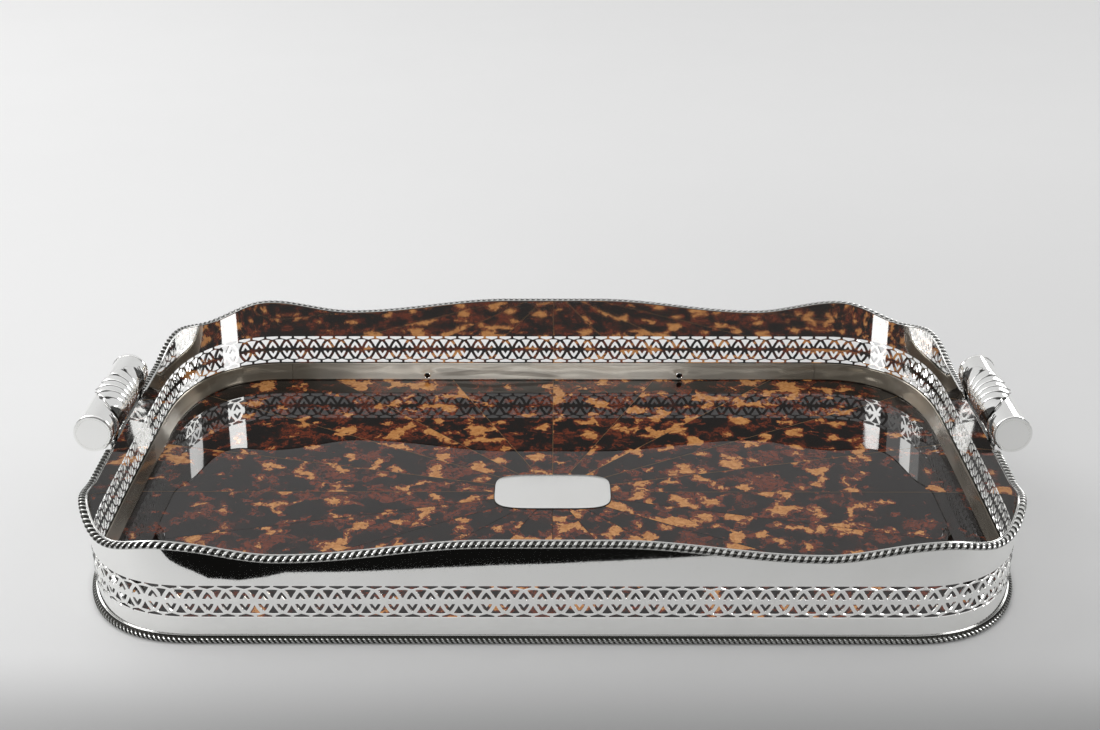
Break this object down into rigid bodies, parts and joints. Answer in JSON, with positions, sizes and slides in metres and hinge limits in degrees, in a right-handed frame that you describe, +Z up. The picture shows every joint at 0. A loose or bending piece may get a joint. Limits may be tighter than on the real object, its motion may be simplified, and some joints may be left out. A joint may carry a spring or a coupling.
{
  "type": "bar tray",
  "caption": "Oblong bar tray: a mottled veneered bed with a blank name plate, a pierced metal gallery with a wavy gadroon rim, and a round grip on a leaf mount at each end",
  "frame": {"origin": "middle of the footprint, on the surface that the tray stands on", "axes": "+X along the tray towards the right grip, -Y towards the front, +Z up"},
  "size_m": [0.65, 0.4112, 0.0872],
  "materials": {
    "silver_plate": "polished silver plate, lightly scratched",
    "mottled_veneer": "high gloss, dark brown with amber blotches like tortoiseshell",
    "board_wood": "plain, sealed"
  },
  "bodies": {
    "root": {"base_board": "board_wood", "base_pin_01": "silver_plate", "base_pin_02": "silver_plate", "base_pin_03": "silver_plate", "base_pin_04": "silver_plate", "base_pin_05": "silver_plate", "base_pin_06": "silver_plate", "bead_pin_back_left": "silver_plate", "bead_pin_back_right": "silver_plate", "bead_pin_front_left": "silver_plate", "bead_pin_front_right": "silver_plate", "foot_moulding_back": "silver_plate", "foot_moulding_front": "silver_plate", "foot_moulding_left_end": "silver_plate", "foot_moulding_right_end": "silver_plate", "gallery_back": "silver_plate", "gallery_front": "silver_plate", "gallery_left_end": "silver_plate", "gallery_right_end": "silver_plate", "left_grip_cap_front": "silver_plate", "left_grip_cap_rear": "silver_plate", "left_grip_core": "board_wood", "left_grip_stud_front": "silver_plate", "left_grip_stud_rear": "silver_plate", "left_grip_tube": "silver_plate", "left_leaf_mount": "silver_plate", "name_plate": "silver_plate", "panel_bead_back": "silver_plate", "panel_bead_front": "silver_plate", "panel_bead_left_end": "silver_plate", "panel_bead_right_end": "silver_plate", "right_grip_cap_front": "silver_plate", "right_grip_cap_rear": "silver_plate", "right_grip_core": "board_wood", "right_grip_stud_front": "silver_plate", "right_grip_stud_rear": "silver_plate", "right_grip_tube": "silver_plate", "right_leaf_mount": "silver_plate", "rim_moulding_back": "silver_plate", "rim_moulding_front": "silver_plate", "veneer_panel_01": "mottled_veneer", "veneer_panel_02": "mottled_veneer", "veneer_panel_03": "mottled_veneer", "veneer_panel_04": "mottled_veneer", "veneer_panel_05": "mottled_veneer", "veneer_panel_06": "mottled_veneer", "veneer_panel_07": "mottled_veneer", "veneer_panel_08": "mottled_veneer", "veneer_panel_09": "mottled_veneer", "veneer_panel_10": "mottled_veneer", "veneer_panel_11": "mottled_veneer", "veneer_panel_12": "mottled_veneer", "veneer_panel_13": "mottled_veneer", "veneer_panel_14": "mottled_veneer", "veneer_panel_15": "mottled_veneer", "veneer_panel_16": "mottled_veneer", "veneer_panel_17": "mottled_veneer", "veneer_panel_18": "mottled_veneer", "veneer_panel_19": "mottled_veneer", "veneer_panel_20": "mottled_veneer"}
  },
  "joints": []
}
